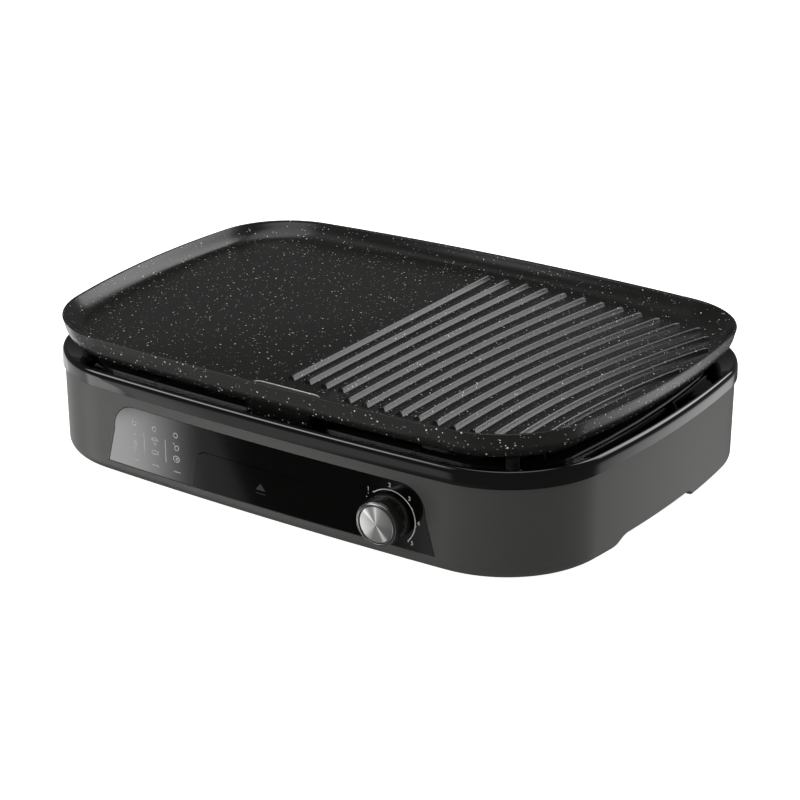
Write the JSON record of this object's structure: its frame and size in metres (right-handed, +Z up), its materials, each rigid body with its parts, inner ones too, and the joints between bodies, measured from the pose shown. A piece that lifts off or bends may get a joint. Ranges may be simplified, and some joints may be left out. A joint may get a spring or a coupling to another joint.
{
  "type": "electric table grill",
  "caption": "Electric table grill with a lift-off cast plate, half flat and half ribbed, a slide-out drip tray and a turning thermostat knob",
  "frame": {"origin": "on the table, under the middle of the whole part's box", "axes": "+X to the right seen from the front, along the length; +Y to the back; +Z up"},
  "size_m": [0.505, 0.365, 0.115],
  "materials": {
    "housing_plastic": "fine satin grain",
    "cover_plastic": "fine grain",
    "bezel_gloss": "polished",
    "sheet_steel": "rolled sheet",
    "element_steel": "heat tinted",
    "ceramic": "unglazed",
    "brass": "turned",
    "copper": "drawn",
    "shaft_steel": "turned",
    "knob_plastic": "satin",
    "chrome_trim": "polished",
    "spun_aluminium": "spun",
    "plate_coating": "speckled dark non-stick coating on cast aluminium",
    "tray_plastic": "moulded",
    "block_plastic": "moulded",
    "wire_red": "insulated",
    "rubber_black": "matt",
    "screw_steel": "zinc plated",
    "enamel_black": "matt black enamel"
  },
  "bodies": {
    "housing": {"base_shell": "housing_plastic", "bottom_cover": "cover_plastic", "top_bezel": "bezel_gloss", "control_panel": "bezel_gloss", "heat_reflector": "enamel_black", "heating_element": "element_steel", "element_support_left": "sheet_steel", "element_support_right": "sheet_steel", "terminal_live": "ceramic", "terminal_neutral": "ceramic", "thermostat_body": "ceramic", "thermostat_bracket": "sheet_steel", "thermostat_nut": "brass", "sensor_bulb": "copper", "sensor_clip": "sheet_steel", "tray_rail_left": "cover_plastic", "tray_rail_right": "cover_plastic", "heat_shield": "sheet_steel", "terminal_block": "block_plastic", "thermal_fuse": "shaft_steel", "wiring_loom": "wire_red", "cord_gland": "rubber_black", "foot_front_left": "rubber_black", "foot_front_right": "rubber_black", "foot_back_left": "rubber_black", "foot_back_right": "rubber_black", "pad_front_left": "rubber_black", "pad_front_right": "rubber_black", "pad_back_left": "rubber_black", "pad_back_right": "rubber_black", "cover_screws": "screw_steel", "reflector_screws": "screw_steel", "bracket_screws": "screw_steel"},
    "plate": {"grill_plate": "plate_coating"},
    "drawer": {"drip_tray": "tray_plastic", "drip_tray_front": "bezel_gloss"},
    "knob": {"thermostat_shaft": "shaft_steel", "knob": "knob_plastic", "knob_ring": "chrome_trim", "knob_cap": "spun_aluminium"}
  },
  "joints": [
    {"name": "plate_lift", "type": "slide", "parent": "housing", "child": "plate", "axis": [0, 0, 1], "range_m": [0, 0.12]},
    {"name": "tray_slide", "type": "slide", "parent": "housing", "child": "drawer", "axis": [0, -1, 0], "range_m": [0, 0.12]},
    {"name": "knob_turn", "type": "hinge", "parent": "housing", "child": "knob", "pos_m": [0.1151, -0.16715, 0.0366], "axis": [0, -1, 0], "range_deg": [-210, 0]}
  ]
}
